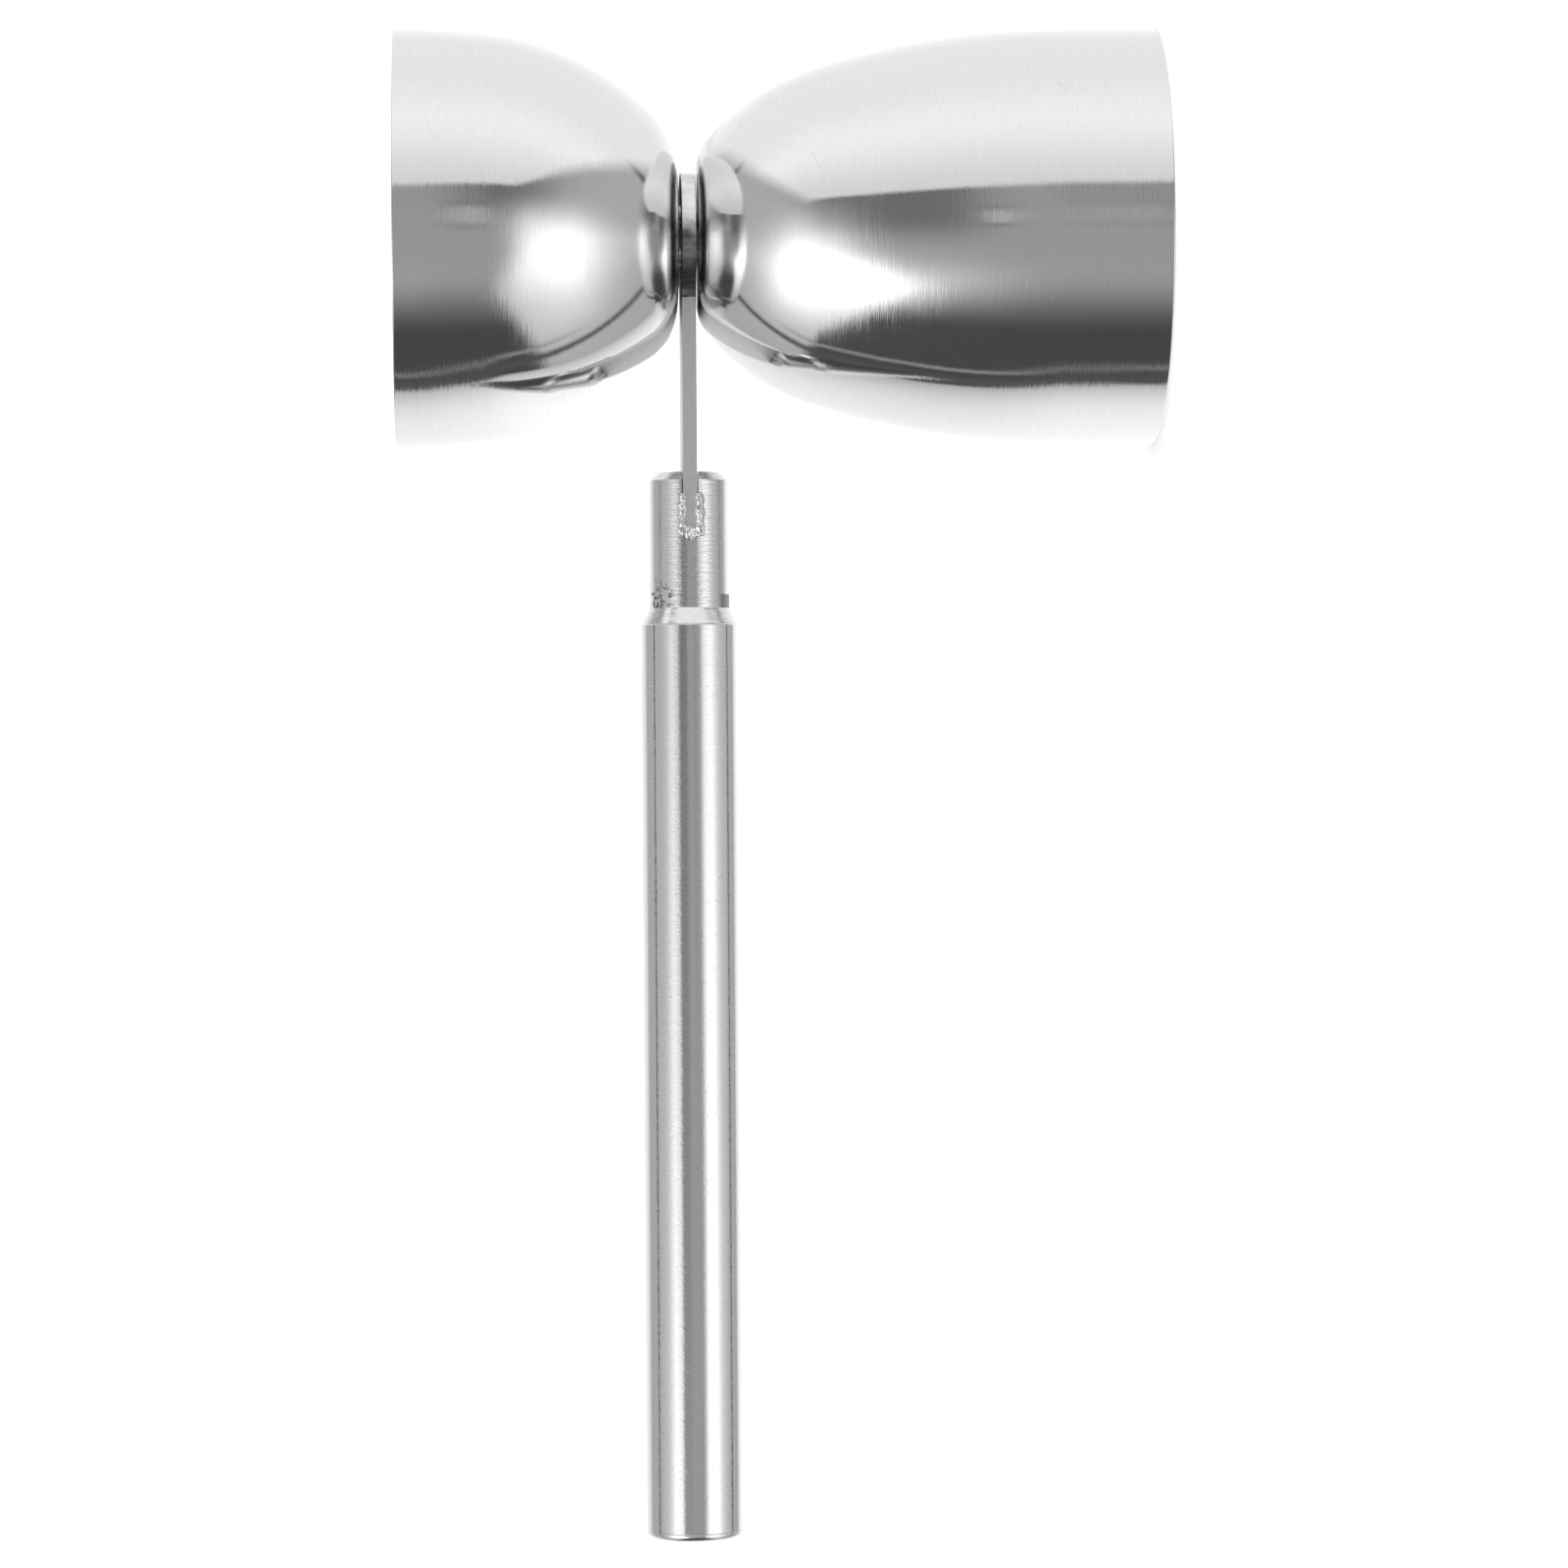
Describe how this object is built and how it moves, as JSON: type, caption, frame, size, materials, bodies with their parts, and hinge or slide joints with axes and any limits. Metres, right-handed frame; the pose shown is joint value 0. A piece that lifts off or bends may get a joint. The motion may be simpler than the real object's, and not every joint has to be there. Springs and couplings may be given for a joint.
{
  "type": "bar jigger",
  "caption": "Double bar jigger: a large and a small bell-shaped measuring cup back to back across a flat blade, on a slim cylindrical handle.",
  "frame": {"origin": "centre of the large cup's mouth, on the plane of its rim", "axes": "+Z along the common axis of the cups towards the small cup, the handle points along -X, Y across"},
  "size_m": [0.157, 0.0432, 0.0791],
  "materials": {
    "cup_steel": "polished stainless with fine circumferential polishing lines",
    "blade_steel": "blanked stainless sheet, satin with rough cut edges",
    "turned_steel": "lathe-turned stainless with circumferential tool marks",
    "handle_steel": "polished stainless tube",
    "weld_steel": "fused weld metal, uneven and bright"
  },
  "bodies": {
    "root": {"large_cup": "cup_steel", "small_cup": "cup_steel", "handle_blade": "blade_steel", "neck_plug": "turned_steel", "handle_tube": "handle_steel", "end_cap": "handle_steel", "large_cup_weld": "weld_steel", "small_cup_weld": "weld_steel", "slot_weld": "weld_steel"}
  },
  "joints": []
}
